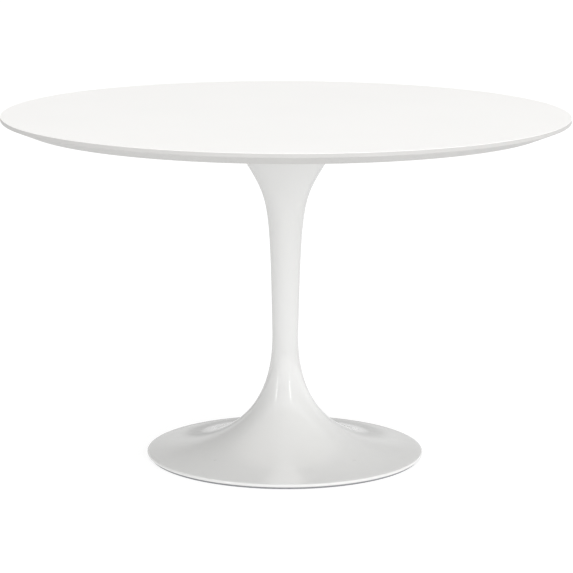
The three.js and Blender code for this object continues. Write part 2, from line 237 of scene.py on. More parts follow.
def hexagon_tree():
    tree, given = new_tree("hexagon", [
        ("Across Flats", "NodeSocketFloat", 0.01),
        ("Lowest", "NodeSocketFloat", 0.0),
        ("Highest", "NodeSocketFloat", 0.01),
        ("Finish", "NodeSocketMaterial", None),
    ])
    part, radius, angle = radius_and_angle(tree)
    sixth = math.pi / 3
    folded = node(tree, "ShaderNodeMath", {0: angle, 1: sixth}, operation="FLOORED_MODULO")
    centred = node(tree, "ShaderNodeMath", {0: folded.outputs[0], 1: sixth / 2}, operation="SUBTRACT")
    slant = node(tree, "ShaderNodeMath", {0: centred.outputs[0]}, operation="COSINE")
    half = node(tree, "ShaderNodeMath", {0: given["Across Flats"], 1: 2.0}, operation="DIVIDE")
    reach = node(tree, "ShaderNodeMath", {0: half.outputs[0], 1: slant.outputs[0]}, operation="DIVIDE")
    ratio = node(tree, "ShaderNodeMath", {0: reach.outputs[0], 1: radius}, operation="DIVIDE")
    factor = node(tree, "ShaderNodeMath", {0: ratio.outputs[0], 1: 1.0}, operation="MINIMUM")
    chosen = between(tree, part.outputs["Z"], given["Lowest"], given["Highest"])
    milled = scaled_outwards(tree, given["Geometry"], chosen, part, factor.outputs[0])
    end_tree(tree, milled, given["Finish"])
    return tree


HEXAGON = hexagon_tree()
print("the hexagon tree has", len(HEXAGON.nodes), "nodes")

# %% [markdown]
# ## The die
# A thread is a groove that climbs one pitch in each turn. Height over pitch, less the part of a turn already
# made, is the same all along one groove, so a triangle wave of that number is the thread's flank. The tree
# draws points inwards by the wave, and fades the wave out at both ends of the threaded stretch, where a real
# die runs out. The groove is as deep as standard threads are, 0.61 of the pitch.

# %% Build the thread tree
THREAD_DEPTH = 0.61
SHANK_TOLERANCE = 0.02 * MM


def thread_tree():
    tree, given = new_tree("thread", [
        ("Pitch", "NodeSocketFloat", 0.00125),
        ("Radius", "NodeSocketFloat", 0.004),
        ("Lowest", "NodeSocketFloat", 0.0),
        ("Highest", "NodeSocketFloat", 0.01),
        ("Finish", "NodeSocketMaterial", None),
    ])
    part, radius, angle = radius_and_angle(tree)
    height = part.outputs["Z"]
    climb = node(tree, "ShaderNodeMath", {0: height, 1: given["Pitch"]}, operation="DIVIDE")
    turns = node(tree, "ShaderNodeMath", {0: angle, 1: 2 * math.pi}, operation="DIVIDE")
    phase = node(tree, "ShaderNodeMath", {0: climb.outputs[0], 1: turns.outputs[0]}, operation="SUBTRACT")
    wave = node(tree, "ShaderNodeMath", {0: phase.outputs[0], 1: 0.5}, operation="PINGPONG")
    depth = node(tree, "ShaderNodeMath", {0: wave.outputs[0], 1: 2 * THREAD_DEPTH}, operation="MULTIPLY")
    into = node(tree, "ShaderNodeMath", {0: depth.outputs[0], 1: given["Pitch"]}, operation="MULTIPLY")
    above = node(tree, "ShaderNodeMath", {0: height, 1: given["Lowest"]}, operation="SUBTRACT")
    below = node(tree, "ShaderNodeMath", {0: given["Highest"], 1: height}, operation="SUBTRACT")
    nearest = node(tree, "ShaderNodeMath", {0: above.outputs[0], 1: below.outputs[0]}, operation="MINIMUM")
    fade = node(tree, "ShaderNodeMath", {0: nearest.outputs[0], 1: given["Pitch"]}, operation="DIVIDE",
                use_clamp=True)
    cut = node(tree, "ShaderNodeMath", {0: into.outputs[0], 1: fade.outputs[0]}, operation="MULTIPLY")
    share = node(tree, "ShaderNodeMath", {0: cut.outputs[0], 1: radius}, operation="DIVIDE")
    factor = node(tree, "ShaderNodeMath", {0: 1.0, 1: share.outputs[0]}, operation="SUBTRACT")
    error = node(tree, "ShaderNodeMath", {0: radius, 1: given["Radius"]}, operation="SUBTRACT")
    off = node(tree, "ShaderNodeMath", {0: error.outputs[0]}, operation="ABSOLUTE")
    on_shank = node(tree, "FunctionNodeCompare", {0: off.outputs[0], 1: SHANK_TOLERANCE},
                    operation="LESS_THAN")
    in_reach = between(tree, height, given["Lowest"], given["Highest"])
    chosen = node(tree, "FunctionNodeBooleanMath", {0: on_shank.outputs[0], 1: in_reach})
    threaded = scaled_outwards(tree, given["Geometry"], chosen.outputs[0], part, factor.outputs[0])
    end_tree(tree, threaded, given["Finish"])
    return tree


THREAD = thread_tree()
print("the thread tree has", len(THREAD.nodes), "nodes")

# %% [markdown]
# ## A bolt circle
# The six screws, their washers and their inserts each stand in a ring. One finished piece is the pattern, and
# the tree sets a copy on each point of a circle, turned to face outwards. Realizing the copies at the end
# makes them real meshes, which an export needs.

# %% Build the bolt-circle tree
def bolt_circle_tree():
    tree, given = new_tree("bolt circle", [
        ("Count", "NodeSocketInt", 6),
        ("Radius", "NodeSocketFloat", 0.08),
        ("First Angle", "NodeSocketFloat", 0.0),
        ("Finish", "NodeSocketMaterial", None),
    ])
    circle = node(tree, "GeometryNodeMeshCircle", {"Vertices": given["Count"], "Radius": given["Radius"]})
    start = node(tree, "ShaderNodeCombineXYZ", {"Z": given["First Angle"]})
    turned_circle = node(tree, "GeometryNodeTransform", {
        "Geometry": circle.outputs[0], "Rotation": start.outputs[0]})
    _, _, angle = radius_and_angle(tree)
    facing = node(tree, "ShaderNodeCombineXYZ", {"Z": angle})
    copies = node(tree, "GeometryNodeInstanceOnPoints", {
        "Points": turned_circle.outputs[0], "Instance": given["Geometry"], "Rotation": facing.outputs[0]})
    end_tree(tree, copies.outputs[0], given["Finish"])
    return tree


BOLT_CIRCLE = bolt_circle_tree()
print("the bolt-circle tree has", len(BOLT_CIRCLE.nodes), "nodes")

# %% [markdown]
# ## From a tree to a finished piece
# A tree's inputs are set on its modifier by their identifiers, before anything is evaluated. The evaluated
# result is then copied to a plain mesh at the origin, and the maker with its modifiers is thrown away.

# %% Turn a maker into a plain mesh
def apply_tree(maker, tree, values):
    modifier = maker.modifiers.new(tree.name, "NODES")
    modifier.node_group = tree
    for item in tree.interface.items_tree:
        if item.in_out == "INPUT" and item.name in values:
            modifier[item.identifier] = values[item.name]


def plain_mesh(maker, name):
    evaluated = maker.evaluated_get(bpy.context.evaluated_depsgraph_get())
    mesh = bpy.data.meshes.new_from_object(evaluated)
    mesh.name = name
    bpy.data.objects.remove(maker)
    piece = bpy.data.objects.new(name, mesh)
    bpy.context.collection.objects.link(piece)
    return piece


def turned(name, points, sides, finish, *cuts):
    """A turned piece from a half section in mm; cuts are further (tree, inputs) pairs."""
    area = sum(a.x * b.y - b.x * a.y for a, b in zip(points, points[1:] + points[:1]))
    ordered = points if area > 0 else points[::-1]
    closes_on_axis = ordered[0].x == 0 and ordered[-1].x == 0
    edges = [(i, i + 1) for i in range(len(ordered) - 1)]
    if not closes_on_axis:
        edges.append((len(ordered) - 1, 0))
    wire = bpy.data.meshes.new(name + "_outline")
    wire.from_pydata([(p.x * MM, p.y * MM, 0.0) for p in ordered], edges, [])
    maker = bpy.data.objects.new(name + "_outline", wire)
    bpy.context.collection.objects.link(maker)
    apply_tree(maker, LATHE, {"Sides": sides, "Finish": finish})
    for tree, values in cuts:
        apply_tree(maker, tree, {**values, "Finish": finish})
    piece = plain_mesh(maker, name)
    print(name, "has", len(piece.data.polygons), "faces")
    return piece

# %% [markdown]
# ## Sizes from the frame
# Every piece takes its heights and its outer radius from the box of its node in the frame, in millimetres.
# A box can't say where a bevel starts or how a wall runs inside, so those few sizes are named where used.
# Pieces that touch keep a small gap, as they do in the frame.

# %% Read a node's heights and radius
GAP = 0.3


def levels(name):
    """The lowest height, the highest height and the outer radius of a round node, in mm."""
    low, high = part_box(name)
    return low.z / MM, high.z / MM, (high.x - low.x) / 2 / MM


def middle(name):
    low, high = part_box(name)
    return (low + high) / 2


TABLE_LOW, TABLE_HIGH, TOP_RADIUS = levels("top_laminate")
print("the top is", round(2 * TOP_RADIUS), "mm across and its face is at", round(TABLE_HIGH), "mm")

# %% [markdown]
# ## Drilling, joining and fitting
# Holes and bosses are made as in a workshop: a round pin is cut away from a turned piece, or joined to it, by
# an exact boolean. A pin that opens a face runs a little past it, because a cut that ends level with the
# face leaves slivers. The first function fits a finished piece into the frame: it says which nodes the piece
# stands for and which body carries it.

# %% Helpers for solid pieces
PAST = 1.0
CREASE = math.radians(38)
WELD_REACH = 0.001 * MM


def fit(piece, body, slot, *nodes):
    """Hands a finished piece to the frame; edges sharper than a rounding's steps stay crisp in the light."""
    piece.data.set_sharp_from_angle(angle=CREASE)
    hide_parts(*nodes)
    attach(piece, body)


def solid_of(piece, operation, *tools):
    """The piece after solid tools are cut away from it or joined to it, with its doubled points welded."""
    for tool in tools:
        cut = piece.modifiers.new(operation, "BOOLEAN")
        cut.operation = operation
        cut.solver = "EXACT"
        cut.object = tool
    weld = piece.modifiers.new("weld", "WELD")
    weld.merge_threshold = WELD_REACH
    name = piece.name
    piece.name = name + "_before"
    made = plain_mesh(piece, name)
    for tool in tools:
        bpy.data.objects.remove(tool)
    return made


def pin(radius, low, high, x=0.0, y=0.0, sides=48):
    """A plain round tool for cutting or joining, in mm, standing at x and y in metres."""
    outline = section([(0, low, 0), (radius, low, 0), (radius, high, 0), (0, high, 0)])
    tool = turned("tool", outline, sides, None)
    tool.data.transform(Matrix.Translation((x, y, 0.0)))
    return tool


print("a pin runs", PAST, "mm past the face that it opens")

# %% [markdown]
# ## Where a surface starts
# Each finish begins as one Principled shader with the colour, roughness and metallic value of the real
# material. They are set straight on the shader. Only what varies over the surface is linked in: grain, the
# ripple of sprayed paint, casting skin. Patterns read Object coordinates, which are metres here, so a
# pattern's scale is one over its real size.

# %% Helpers for finishes
def finish(name, colour, roughness, metallic=0.0, **sockets):
    """A new material with its Principled shader and the point that its patterns read."""
    material = bpy.data.materials.new(name)
    material.use_nodes = True
    tree = material.node_tree
    shader = tree.nodes["Principled BSDF"]
    shader.inputs["Base Color"].default_value = linear(colour)
    shader.inputs["Roughness"].default_value = roughness
    shader.inputs["Metallic"].default_value = metallic
    for label, value in sockets.items():
        shader.inputs[label.replace("_", " ")].default_value = value
    point = node(tree, "ShaderNodeTexCoord").outputs["Object"]
    return material, tree, shader, point


NOISE_LOW, NOISE_HIGH = 0.3, 0.7


def grain(tree, point, size_mm, detail=2.0):
    """Soft noise from 0 to 1 whose lumps are about size_mm across."""
    noise = node(tree, "ShaderNodeTexNoise", {
        "Vector": point, "Scale": 1.0 / (size_mm * MM), "Detail": detail, "Roughness": 0.5})
    return noise.outputs["Fac"]


def spread(tree, value, low, high):
    """Noise stretched over a range of values; it hardly ever leaves the middle of its own range."""
    return node(tree, "ShaderNodeMapRange", {
        "Value": value, "From Min": NOISE_LOW, "From Max": NOISE_HIGH,
        "To Min": low, "To Max": high}).outputs[0]


def relief(tree, height, depth_mm, below=None):
    """A bump as high as depth_mm, laid over another one where given."""
    inputs = {"Height": height, "Distance": depth_mm * MM, "Strength": 1.0}
    if below is not None:
        inputs["Normal"] = below
    return node(tree, "ShaderNodeBump", inputs).outputs[0]


def tint(tree, value, dark, light):
    """A colour between two hex colours, by a value from 0 to 1."""
    mixed = node(tree, "ShaderNodeMix", {0: value, 6: linear(dark), 7: linear(light)}, data_type="RGBA")
    return mixed.outputs[2]


print("grain 2 mm across has a noise scale of", 1.0 / (2.0 * MM))

# %% [markdown]
# ## Satin white laminate
# The face is high-pressure laminate: melamine-soaked paper pressed against a satin steel plate. The plate
# leaves a very fine pebble, under a millimetre across and a few microns deep, so lamps show as soft patches
# with no mirror image. Years of wiping make the gloss wander a little over hand-sized areas.

# %% Make the laminate
def laminate_finish():
    material, tree, shader, point = finish("satin_pressed_laminate", "F8F7F5", 0.34, IOR=1.5)
    wander = grain(tree, point, 140.0, 1.0)
    tree.links.new(spread(tree, wander, 0.33, 0.36), shader.inputs["Roughness"])
    pebble = relief(tree, grain(tree, point, 0.9, 1.0), 0.006)
    tree.links.new(pebble, shader.inputs["Normal"])
    tree.links.new(tint(tree, wander, "F7F6F4", "F9F8F6"), shader.inputs["Base Color"])
    return material


LAMINATE = laminate_finish()
print("made", LAMINATE.name)

# %% [markdown]
# ## Sprayed lacquer on board
# The edge band and the bevel are fibreboard, sanded, filled and sprayed with white lacquer. Its colour here
# is a light grey, darker than the white lacquer itself, so part of the edge band's shade is painted into it.
# Spray dries with
# orange peel: shallow ripples two or three millimetres apart. They break up the reflection along the edge.

# %% Make the lacquer
def lacquer_finish():
    # The base grey and the cloud's two greys are darker than white lacquer: painted shade on the edge band.
    material, tree, shader, point = finish("sprayed_lacquer_with_painted_shade", "D3D2D0", 0.36, IOR=1.5)
    ripple = relief(tree, grain(tree, point, 2.6, 1.0), 0.012)
    tree.links.new(ripple, shader.inputs["Normal"])
    cloud = grain(tree, point, 60.0, 2.0)
    tree.links.new(spread(tree, cloud, 0.33, 0.42), shader.inputs["Roughness"])
    tree.links.new(tint(tree, cloud, "D1D0CE", "D6D5D3"), shader.inputs["Base Color"])
    return material


LACQUER = lacquer_finish()
print("made", LACQUER.name)

# %% [markdown]
# ## Matte balancing sheet
# A second laminate under the board stops it from cupping. It is a cheaper, greyer and matter sheet with a
# coarse pressed grain, and nobody wipes it.

# %% Make the balancing sheet
def backer_finish():
    material, tree, shader, point = finish("matte_melamine_paper", "DEDDD9", 0.6, IOR=1.5)
    pressed = relief(tree, grain(tree, point, 0.8, 3.0), 0.02)
    tree.links.new(pressed, shader.inputs["Normal"])
    fibres = grain(tree, point, 4.0, 4.0)
    tree.links.new(tint(tree, fibres, "D9D8D4", "E2E1DD"), shader.inputs["Base Color"])
    return material


BACKER = backer_finish()
print("made", BACKER.name)

# %% [markdown]
# ## Gloss coating on iron
# The casting is ground smooth outside, primed and stove-coated with a thick gloss white. Two ripples show in
# its reflections: orange peel a few millimetres across, and a slow unevenness of the ground iron under it.
# A clear coat over a slightly rough white base gives the sharp highlight on a soft glow. Inside the hollow
# the iron is left as cast, and the spray only dusts it: pebbled, dull and uneven. The piece carries one
# attribute, hollow, that is 1 there, and the finish blends by it.

# %% Make the coating
STOVE_WHITE = "EAEAE9"
CLEAR_COAT = 0.8


def coating_finish():
    material, tree, shader, point = finish(
        "stove_coated_gloss_white", STOVE_WHITE, 0.24, IOR=1.5, Coat_Weight=CLEAR_COAT, Coat_Roughness=0.06)
    hollow = node(tree, "ShaderNodeAttribute", attribute_name="hollow").outputs["Fac"]
    slow = relief(tree, grain(tree, point, 45.0, 1.0), 0.05)
    peel = relief(tree, grain(tree, point, 3.2, 1.0), 0.006, slow)
    pebbles = relief(tree, grain(tree, point, 1.8, 4.0), 0.35)
    normal = node(tree, "ShaderNodeMix", {0: hollow, 4: peel, 5: pebbles}, data_type="VECTOR")
    tree.links.new(normal.outputs[1], shader.inputs["Normal"])
    tree.links.new(peel, shader.inputs["Coat Normal"])
    smooth_gloss = spread(tree, grain(tree, point, 30.0, 2.0), 0.21, 0.27)
    gloss = node(tree, "ShaderNodeMix", {0: hollow, 2: smooth_gloss, 3: 0.75})
    tree.links.new(gloss.outputs[0], shader.inputs["Roughness"])
    coat = node(tree, "ShaderNodeMix", {0: hollow, 2: CLEAR_COAT, 3: 0.0})
    tree.links.new(coat.outputs[0], shader.inputs["Coat Weight"])
    dust = tint(tree, spread(tree, grain(tree, point, 7.0, 5.0), 0.0, 1.0), "A9A7A2", "D2D1CD")
    colour = node(tree, "ShaderNodeMix", {0: hollow, 6: linear(STOVE_WHITE), 7: dust}, data_type="RGBA")
    tree.links.new(colour.outputs[2], shader.inputs["Base Color"])
    return material


COATING = coating_finish()
print("made", COATING.name)

# %% [markdown]
# ## Bare sand-cast iron
# The spider is never seen, so it keeps the skin of the sand mould: pebbles about a millimetre across under a
# thin dark oxide, with brown where damp has got at it.

# %% Make the iron
def iron_finish():
    material, tree, shader, point = finish("sand_cast_iron", "4A4744", 0.62, 0.85)
    skin = relief(tree, grain(tree, point, 1.1, 5.0), 0.25)
    tree.links.new(skin, shader.inputs["Normal"])
    damp = spread(tree, grain(tree, point, 22.0, 4.0), 0.0, 1.0)
    tree.links.new(tint(tree, damp, "3F3D3C", "5E5048"), shader.inputs["Base Color"])
    tree.links.new(spread(tree, damp, 0.55, 0.8), shader.inputs["Roughness"])
    return material


IRON = iron_finish()
print("made", IRON.name)

# %% [markdown]
# ## Zinc-plated steel
# Screws, nuts, washers and the rod are barrel-plated. Zinc crystals make the metal slightly cloudy, and the
# clear chromate over it turns faintly blue in places and straw yellow in others.

# %% Make the plating
def zinc_finish():
    material, tree, shader, point = finish("barrel_plated_zinc", "BFC2C6", 0.32, 1.0)
    cloud = spread(tree, grain(tree, point, 3.0, 4.0), 0.0, 1.0)
    tree.links.new(tint(tree, cloud, "B7BDC6", "C9C7BE"), shader.inputs["Base Color"])
    tree.links.new(spread(tree, grain(tree, point, 0.6, 3.0), 0.26, 0.42), shader.inputs["Roughness"])
    tumbled = relief(tree, grain(tree, point, 0.35, 2.0), 0.01)
    tree.links.new(tumbled, shader.inputs["Normal"])
    return material


ZINC = zinc_finish()
print("made", ZINC.name)

# %% [markdown]
# ## Turned brass
# The inserts are cut from brass bar on an automatic lathe. The tool leaves fine rings across the bar's axis,
# so the rings follow height. Real ones are a fifth of a millimetre apart; these are six times as coarse, so
# that they show. A wave texture of scale one makes twenty radians of wave in a metre, hence the sum below.

# %% Make the brass
RING_SPACING = 1.2566
WAVE_RADIANS = 20.0


def brass_finish():
    material, tree, shader, point = finish("turned_brass", "C49C52", 0.3, 1.0)
    feed_marks = node(tree, "ShaderNodeTexWave", {
        "Vector": point, "Scale": 2 * math.pi / (WAVE_RADIANS * RING_SPACING * MM),
        "Distortion": 0.3, "Detail": 1.0}, bands_direction="Z")
    tree.links.new(relief(tree, feed_marks.outputs["Fac"], 0.01), shader.inputs["Normal"])
    stain = spread(tree, grain(tree, point, 5.0, 3.0), 0.0, 1.0)
    tree.links.new(tint(tree, stain, "B88E45", "CCA861"), shader.inputs["Base Color"])
    return material


BRASS = brass_finish()
print("made", BRASS.name)

# %% [markdown]
# ## Closed-cell foam
# The seal is cut from white polyethylene foam. Its cells are about half a millimetre across and open only at
# the cut face, so it is dull and softly pitted.

# %% Make the foam
def foam_finish():
    material, tree, shader, point = finish("closed_cell_foam", "D6D6D3", 0.85, IOR=1.45)
    cells = node(tree, "ShaderNodeTexVoronoi", {"Vector": point, "Scale": 1.0 / (0.6 * MM)})
    tree.links.new(relief(tree, cells.outputs["Distance"], 0.12), shader.inputs["Normal"])
    tree.links.new(tint(tree, cells.outputs["Distance"], "C4C4C1", "DEDEDB"), shader.inputs["Base Color"])
    return material


FOAM = foam_finish()
print("made", FOAM.name)

# %% [markdown]
# ## Moulded polyethylene and nylon
# The glide ring is grey polyethylene: waxy and low in gloss, with a coarse moulded texture. The pads are
# black nylon from a spark-eroded mould, which is finer grained and a little shinier. Both are scuffed.

# %% Make the plastics
def plastic_finish(name, dark, light, grain_mm, depth_mm, gloss):
    material, tree, shader, point = finish(name, dark, gloss, IOR=1.52)
    texture = relief(tree, grain(tree, point, grain_mm, 3.0), depth_mm)
    tree.links.new(texture, shader.inputs["Normal"])
    scuffs = spread(tree, grain(tree, point, 9.0, 5.0), 0.0, 1.0)
    tree.links.new(tint(tree, scuffs, dark, light), shader.inputs["Base Color"])
    tree.links.new(spread(tree, scuffs, gloss, gloss + 0.15), shader.inputs["Roughness"])
    return material


POLYETHYLENE = plastic_finish("moulded_grey_polyethylene", "85868A", "95969A", 0.9, 0.04, 0.5)
NYLON = plastic_finish("moulded_black_nylon", "151517", "222224", 0.4, 0.02, 0.4)
print("made", POLYETHYLENE.name, "and", NYLON.name)

# %% [markdown]
# ## The table top
# The top is three sheets glued in a stack. A plain cylinder would show as a computer's disc, so the half
# section has what a joiner gives it: a softened upper edge on the laminate, an upright band, and the long
# bevel that makes a thick board look thin. The face is finished flat to the very centre.

# %% Turn the three sheets
EDGE_BAND = 9.0
TOP_SIDES = 288

core_low, core_high, _ = levels("top_core")
backer_low, backer_high, backer_radius = levels("backer_laminate")
band_low = TABLE_HIGH - EDGE_BAND
slant = (TOP_RADIUS - backer_radius) / (band_low - backer_high)
core_radius = TOP_RADIUS - slant * (band_low - core_low)
backer_inner = TOP_RADIUS - slant * (band_low - backer_low)

laminate = turned("white_top_face", section([
    (0, TABLE_LOW, 0),
    (TOP_RADIUS, TABLE_LOW, 0.1),
    (TOP_RADIUS, TABLE_HIGH, 0.6),
    (0, TABLE_HIGH, 0),
]), TOP_SIDES, LAMINATE)
core = turned("board_core", section([
    (0, core_low, 0),
    (core_radius, core_low, 0.3),
    (TOP_RADIUS, band_low, 1.6),
    (TOP_RADIUS, core_high, 0.15),
    (0, core_high, 0),
]), TOP_SIDES, LACQUER)
backer = turned("balancing_sheet", section([
    (0, backer_low, 0),
    (backer_inner, backer_low, 0.1),
    (backer_radius, backer_high, 0.1),
    (0, backer_high, 0),
]), TOP_SIDES, BACKER)

# %% [markdown]
# The board and the sheet under it have holes for the inserts. They are cut with round pins, as a drill would,
# and the drill's places come from the inserts in the frame.

# %% Drill the holes for the inserts
INSERTS = 6
insert_low, insert_high, insert_radius = levels("threaded_insert_1")
insert_places = [middle(f"threaded_insert_{n + 1}") for n in range(INSERTS)]
core = solid_of(core, "DIFFERENCE", *[
    pin(insert_radius + GAP, core_low - PAST, insert_high + GAP, p.x, p.y) for p in insert_places])
backer = solid_of(backer, "DIFFERENCE", *[
    pin(insert_radius + 2 * GAP, backer_low - PAST, backer_high + PAST, p.x, p.y) for p in insert_places])
fit(laminate, "table", "white_laminate", "top_laminate")
fit(core, "table", "white_lacquered_board", "top_core")
fit(backer, "table", "white_backer", "backer_laminate")
print("drilled", INSERTS, "holes", round(2 * insert_radius, 1), "mm wide for the inserts")

# %% [markdown]
# ## The pedestal's skin
# Two cubic curves meet at the waist and make the whole outline: one falls and runs out along the floor, the
# other rises and opens like a trumpet. Each has an end point and a pull at both ends. The wall is the same
# curve moved square to itself by the wall's thickness, as the sand core in the foundry is.

# %% Draw the two curves
WAIST_RADIUS, WAIST_HEIGHT, WAIST_FLARE = 27.75, 270.0, 0.022
RIM_TOP, RIM_NOSE, RIM_FLAT = 11.0, 3.5, 15.0
FOOT_SLOPE, LIP_SLOPE = math.radians(3.35), math.radians(62.2)
PULLS = {"rim": 0.76, "waist_down": 0.58, "waist_up": 0.80, "lip": 0.444}
WALL = 6.0
LIP_PAST_SEAL = 1.0

rim_low, lip_height, rim_radius = levels("pedestal_casting")
lip_radius = levels("lip_seal")[2] + LIP_PAST_SEAL
nose = Vector((rim_radius - RIM_NOSE, RIM_TOP - RIM_NOSE))
rim_end = nose + RIM_NOSE * Vector((math.sin(FOOT_SLOPE), math.cos(FOOT_SLOPE)))
waist = Vector((WAIST_RADIUS, WAIST_HEIGHT))
lip = Vector((lip_radius, lip_height))


def pulled(start, start_way, start_pull, end, end_way, end_pull):
    """The four points of a cubic curve that leaves its start, and reaches its end, in the given ways."""
    return start, start + start_way * start_pull, end + end_way * end_pull, end


span_down = WAIST_HEIGHT - rim_end.y
span_up = lip.y - WAIST_HEIGHT
FOOT = pulled(
    rim_end, Vector((-math.cos(FOOT_SLOPE), math.sin(FOOT_SLOPE))), PULLS["rim"] * (rim_end.x - waist.x),
    waist, Vector((-WAIST_FLARE, -1.0)), PULLS["waist_down"] * span_down)
BELL = pulled(
    waist, Vector((WAIST_FLARE, 1.0)), PULLS["waist_up"] * span_up,
    lip, -Vector((math.cos(LIP_SLOPE), math.sin(LIP_SLOPE))), PULLS["lip"] * span_up)


def along(curve, steps, depth=0.0):
    """Points along a cubic curve, moved towards the hollow side by a depth."""
    a, b, c, d = curve
    line = []
    for k in range(steps + 1):
        t = k / steps
        u = 1 - t
        point = a * u ** 3 + b * 3 * u * u * t + c * 3 * u * t * t + d * t ** 3
        way = ((b - a) * u * u + (c - b) * 2 * u * t + (d - c) * t * t).normalized()
        line.append(point + Vector((-way.y, way.x)) * depth)
    return line


def height_at(line, radius):
    """The height of a falling line at a radius."""
    i = next(k for k, p in enumerate(line) if p.x <= radius)
    return line[i].y


print("the waist is", 2 * WAIST_RADIUS, "mm thick and the foot", round(2 * rim_radius), "mm across")

# %% [markdown]
# ## The casting
# The outline runs round the rim, up the skin, over the lip, down the ledge that the spider sits on, and back
# along the inside of the wall. A flat web closes the foot and takes the pull of the tie rod. The whole loop
# is spun by the lathe tree in one go, so inside and outside are one closed body, as poured. The wall's own
# points stop a few clearances short of each corner, which leaves the corner's rounding room.

# %% Work out the sizes inside the casting
WEB, WEB_FILLET = 12.0, 4.0
LEDGE_INNER, LEDGE = 100.0, 10.0
ROD_HOLE_PLAY, SPIDER_PLAY = 1.3, 2.0
TONGUE = 2.0

web_low = levels("clamp_washer")[1] + GAP
web_high = web_low + WEB
rod_radius = levels("tie_rod")[2]
mouth = levels("mounting_spider")[2] + SPIDER_PLAY
ledge_high = levels("spider_washer_1")[1]
ledge_low = ledge_high - LEDGE
chamfer_low = ledge_low - (mouth - LEDGE_INNER)
rim_inner = nose.x - RIM_FLAT
glide_low, glide_high, glide_radius = levels("glide_ring")
groove_in = rim_inner + (RIM_FLAT - TONGUE) / 2 - GAP
groove_out = groove_in + TONGUE + 2 * GAP
groove_high = glide_high + GAP
print("the web lies", round(web_low, 1), "mm up and the mouth is", round(2 * mouth), "mm wide")

# %% Turn the casting
PEDESTAL_SIDES = 192
SKIN_STEPS, NOSE_STEPS = 64, 12
CLEAR = 1.0

nose_arc = [
    nose + RIM_NOSE * Vector((math.cos(a), math.sin(a)))
    for a in np.linspace(-math.pi / 2, math.pi / 2 - FOOT_SLOPE, NOSE_STEPS + 1)[:-1]]
foot_inside = along(FOOT, SKIN_STEPS, WALL)
bell_inside = along(BELL, SKIN_STEPS, WALL)
bell_below = [p for p in bell_inside if p.y < chamfer_low - 2 * CLEAR]
foot_above = [p for p in foot_inside if p.y > web_high + WEB_FILLET]
foot_below = [p for p in foot_inside if p.y < web_low - WEB_FILLET and p.x < rim_inner - CLEAR]
web_edge_high = next(p.x for p in foot_inside if p.y > web_high)
web_edge_low = next(p.x for p in foot_inside if p.y > web_low)
mouth_corners = section([
    (lip_radius - 3 * CLEAR, lip_height, 0),
    (mouth, lip_height, 0.8),
    (mouth, ledge_high, 0.6),
    (LEDGE_INNER, ledge_high, 1.0),
    (LEDGE_INNER, ledge_low, 1.5),
    (bell_below[-1].x, chamfer_low, 0),
])
web_top = section([
    (foot_above[0].x, foot_above[0].y, 0),
    (web_edge_high, web_high, WEB_FILLET),
    (rod_radius + ROD_HOLE_PLAY, web_high, 0.5),
    (rod_radius + ROD_HOLE_PLAY, web_low, 0.5),
    (web_edge_low, web_low, WEB_FILLET),
    (foot_below[-1].x, foot_below[-1].y, 0),
])
rim_bend = rim_inner - 4 * CLEAR
rim_under = section([
    (rim_bend, height_at(foot_inside, rim_bend), 0),
    (rim_inner, rim_low, 0.8),
    (groove_in, rim_low, 0.2),
    (groove_in, groove_high, 0.2),
    (groove_out, groove_high, 0.2),
    (groove_out, rim_low, 0.2),
    (nose.x - CLEAR, rim_low, 0),
])
casting = turned("pedestal", [
    *nose_arc,
    *along(FOOT, SKIN_STEPS),
    *along(BELL, SKIN_STEPS)[1:],
    *mouth_corners[1:],
    *reversed(bell_below[:-1]),
    *reversed(foot_above[1:]),
    *web_top,
    *reversed(foot_below[1:-1]),
    *rim_under,
], PEDESTAL_SIDES, COATING)

# %% [markdown]
# Four bosses under the foot hold the levelling feet. Each is a short round post that ends inside the wall,
# joined to the casting and then drilled. An exact boolean keeps the whole casting one closed body.

# %% Join and drill the bosses
FEET = 4
BOSS_RADIUS, BOSS_GAP = 10.0, 0.5
STUD_RADIUS, FLANGE_LOW, FLANGE = 4.0, 5.8, 3.0
SKIN_LEFT = 3.5

foot_places = [middle(f"leveller_stud_{n + 1}") for n in range(FEET)]
foot_circle = foot_places[0].xy.length / MM
flange_high = FLANGE_LOW + FLANGE
boss_low = flange_high + BOSS_GAP
foot_outside = along(FOOT, SKIN_STEPS)
boss_high = (height_at(foot_inside, foot_circle - BOSS_RADIUS)
             + height_at(foot_outside, foot_circle + BOSS_RADIUS)) / 2
hole_high = height_at(foot_outside, foot_circle + STUD_RADIUS) - SKIN_LEFT
casting = solid_of(casting, "UNION", *[
    pin(BOSS_RADIUS, boss_low, boss_high, p.x, p.y) for p in foot_places])
casting = solid_of(casting, "DIFFERENCE", *[
    pin(STUD_RADIUS + GAP, boss_low - PAST, hole_high, p.x, p.y) for p in foot_places])
print("bosses reach from", boss_low, "to", round(boss_high, 1), "mm")

# %% [markdown]
# The coating needs to know which side of the wall it is on. A point belongs to the outside if it lies on the
# outer curve; every other point is marked hollow. Measuring to the curve itself works for any height, even
# where the wall turns round under the rim.

# %% Mark the inside of the casting
FINE_STEPS = 200
ON_SKIN = 0.3

skin_line = np.array([tuple(p) for p in [*nose_arc, *along(FOOT, FINE_STEPS), *along(BELL, FINE_STEPS)]])
places = np.array([tuple(v.co) for v in casting.data.vertices]) / MM
flat = np.column_stack([np.hypot(places[:, 0], places[:, 1]), places[:, 2]])
nearest = np.full(len(flat), np.inf)
for start, run in zip(skin_line[:-1], np.diff(skin_line, axis=0)):
    share = np.clip((flat - start) @ run / (run @ run), 0.0, 1.0)
    nearest = np.minimum(nearest, np.linalg.norm(flat - start - share[:, None] * run, axis=1))
inside = nearest > ON_SKIN
hollow = casting.data.attributes.new("hollow", "FLOAT", "POINT")
hollow.data.foreach_set("value", np.where(inside, 1.0, 0.0))
fit(casting, "table", "gloss_white_coated_iron", "pedestal_casting")
print(round(100 * float(np.mean(inside))), "percent of the points are inside")

